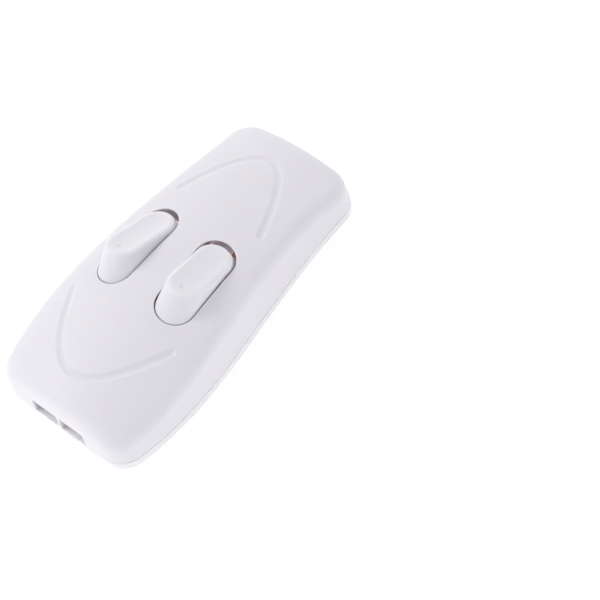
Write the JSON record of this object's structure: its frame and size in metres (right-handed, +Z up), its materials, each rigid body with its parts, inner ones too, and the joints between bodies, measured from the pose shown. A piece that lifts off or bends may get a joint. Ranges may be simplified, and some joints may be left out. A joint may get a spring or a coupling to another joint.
{
  "type": "inline cord switch",
  "caption": "Palm-sized inline cord switch: an arched white plastic body with paired tilting rockers, curved top grooves and flat cord slots at both ends.",
  "frame": {"origin": "centre of the base, on the surface that the switch lies on", "axes": "+X along the body towards the end with two cord slots, +Z up out of the rockers"},
  "size_m": [0.084, 0.0422, 0.0222],
  "materials": {
    "housing_plastic": "satin moulded white with a faint lavender grey cast and fine grain",
    "cover_plastic": "satin moulded white, as the housing",
    "rocker_plastic": "satin moulded white, slightly smoother than the housing",
    "clamp_plastic": "plain moulded pale grey",
    "plunger_plastic": "smooth natural nylon",
    "copper": "rolled reddish contact strip",
    "brass": "drilled bar",
    "contact_silver": "dull silver contact faces",
    "spring_steel": "drawn spring wire",
    "steel": "zinc plated screws"
  },
  "bodies": {
    "housing": {"top_housing": "housing_plastic", "bottom_cover": "cover_plastic", "neutral_link": "brass", "terminal_screws": "steel", "cord_clamp_front": "clamp_plastic", "cord_clamp_rear": "clamp_plastic", "cord_clamp_screws": "steel", "housing_screws": "steel", "live_terminal_left": "copper", "switched_terminal_left": "copper", "fixed_contact_left": "contact_silver", "live_terminal_right": "copper", "switched_terminal_right": "copper", "fixed_contact_right": "contact_silver"},
    "rocker_left": {"rocker_left": "rocker_plastic", "rocker_spring_left": "spring_steel"},
    "plunger_left": {"rocker_plunger_left": "plunger_plastic"},
    "seesaw_left": {"seesaw_contact_left": "copper", "moving_contact_left": "contact_silver"},
    "rocker_right": {"rocker_right": "rocker_plastic", "rocker_spring_right": "spring_steel"},
    "plunger_right": {"rocker_plunger_right": "plunger_plastic"},
    "seesaw_right": {"seesaw_contact_right": "copper", "moving_contact_right": "contact_silver"}
  },
  "joints": [
    {"name": "rocker_left_tilt", "type": "hinge", "parent": "housing", "child": "rocker_left", "pos_m": [0.0024, 0.00783, 0.01296], "axis": [-0.0362, 0.987, -0.1564], "range_deg": [0, 31]},
    {"name": "plunger_left_slide", "type": "slide", "parent": "rocker_left", "child": "plunger_left", "axis": [-0.2726, 0.1409, 0.9518], "range_m": [0, 0.0005], "stiffness_N_per_m": 1500, "springref_m": -0.001, "deforming": ["rocker_spring_left"]},
    {"name": "seesaw_left_rock", "type": "hinge", "parent": "housing", "child": "seesaw_left", "pos_m": [0.00244, 0.00681, 0.00652], "axis": [-0.0362, 0.987, -0.1564], "range_deg": [-18, 0]},
    {"name": "rocker_right_tilt", "type": "hinge", "parent": "housing", "child": "rocker_right", "pos_m": [0.0024, -0.00783, 0.01296], "axis": [0.0362, 0.987, 0.1564], "range_deg": [0, 31]},
    {"name": "plunger_right_slide", "type": "slide", "parent": "rocker_right", "child": "plunger_right", "axis": [-0.2726, -0.1409, 0.9518], "range_m": [0, 0.0005], "stiffness_N_per_m": 1500, "springref_m": -0.001, "deforming": ["rocker_spring_right"]},
    {"name": "seesaw_right_rock", "type": "hinge", "parent": "housing", "child": "seesaw_right", "pos_m": [0.00244, -0.00681, 0.00652], "axis": [0.0362, 0.987, 0.1564], "range_deg": [-18, 0]}
  ],
  "couplings": [
    {"joint": "seesaw_left_rock", "follows": "rocker_left_tilt", "ratio": -0.58065},
    {"joint": "seesaw_right_rock", "follows": "rocker_right_tilt", "ratio": -0.58065}
  ]
}
